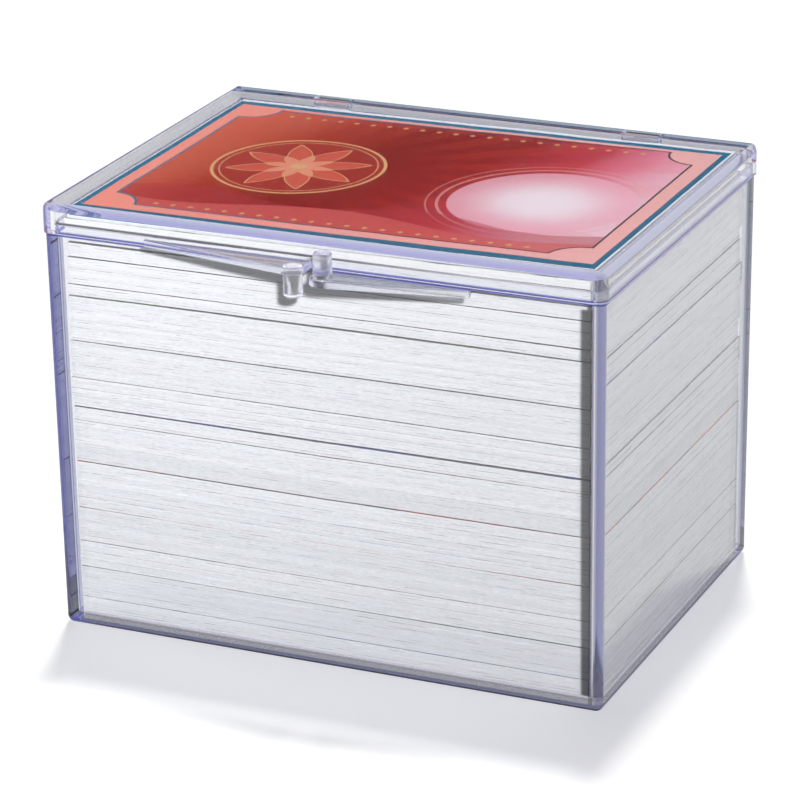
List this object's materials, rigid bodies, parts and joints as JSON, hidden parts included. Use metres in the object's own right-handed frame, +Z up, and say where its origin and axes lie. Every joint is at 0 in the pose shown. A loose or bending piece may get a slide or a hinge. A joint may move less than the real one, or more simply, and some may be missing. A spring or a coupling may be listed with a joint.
{
  "type": "card storage case",
  "caption": "Clear moulded rectangular box with a lid hinged at the rear, finger tabs with knobs at the front and a stack of trading cards filling it.",
  "frame": {"origin": "middle of the base's flat underside", "axes": "+X along the long front side to the right, +Y from the front with the finger tabs to the hinge at the back, +Z up"},
  "size_m": [0.095, 0.0751, 0.0724],
  "materials": {
    "clear_plastic": "clear injection-moulded polystyrene, polished, with a faint violet tint that shows along its edges",
    "card_stock": "cut edges of coated white card, fibrous, with thin dark gaps between packets",
    "printed_card": null
  },
  "bodies": {
    "case_base": {"base_shell": "clear_plastic", "card_packet_01": "card_stock", "card_packet_02": "card_stock", "card_packet_03": "card_stock", "card_packet_04": "card_stock", "card_packet_05": "card_stock", "card_packet_06": "card_stock", "card_packet_07": "card_stock", "card_packet_08": "card_stock", "card_packet_09": "card_stock", "card_packet_10": "card_stock", "card_packet_11": "card_stock", "card_packet_12": "card_stock", "card_packet_13": "card_stock", "card_packet_14": "card_stock", "card_packet_15": "card_stock", "card_packet_16": "card_stock", "card_packet_17": "card_stock", "card_packet_18": "card_stock", "card_packet_19": "card_stock", "top_card": "printed_card"},
    "lid": {"lid_shell": "clear_plastic"}
  },
  "joints": [
    {"name": "lid_hinge", "type": "hinge", "parent": "case_base", "child": "lid", "pos_m": [0, 0.0337, 0.0708], "axis": [-1, 0, 0], "range_deg": [0, 190]}
  ]
}
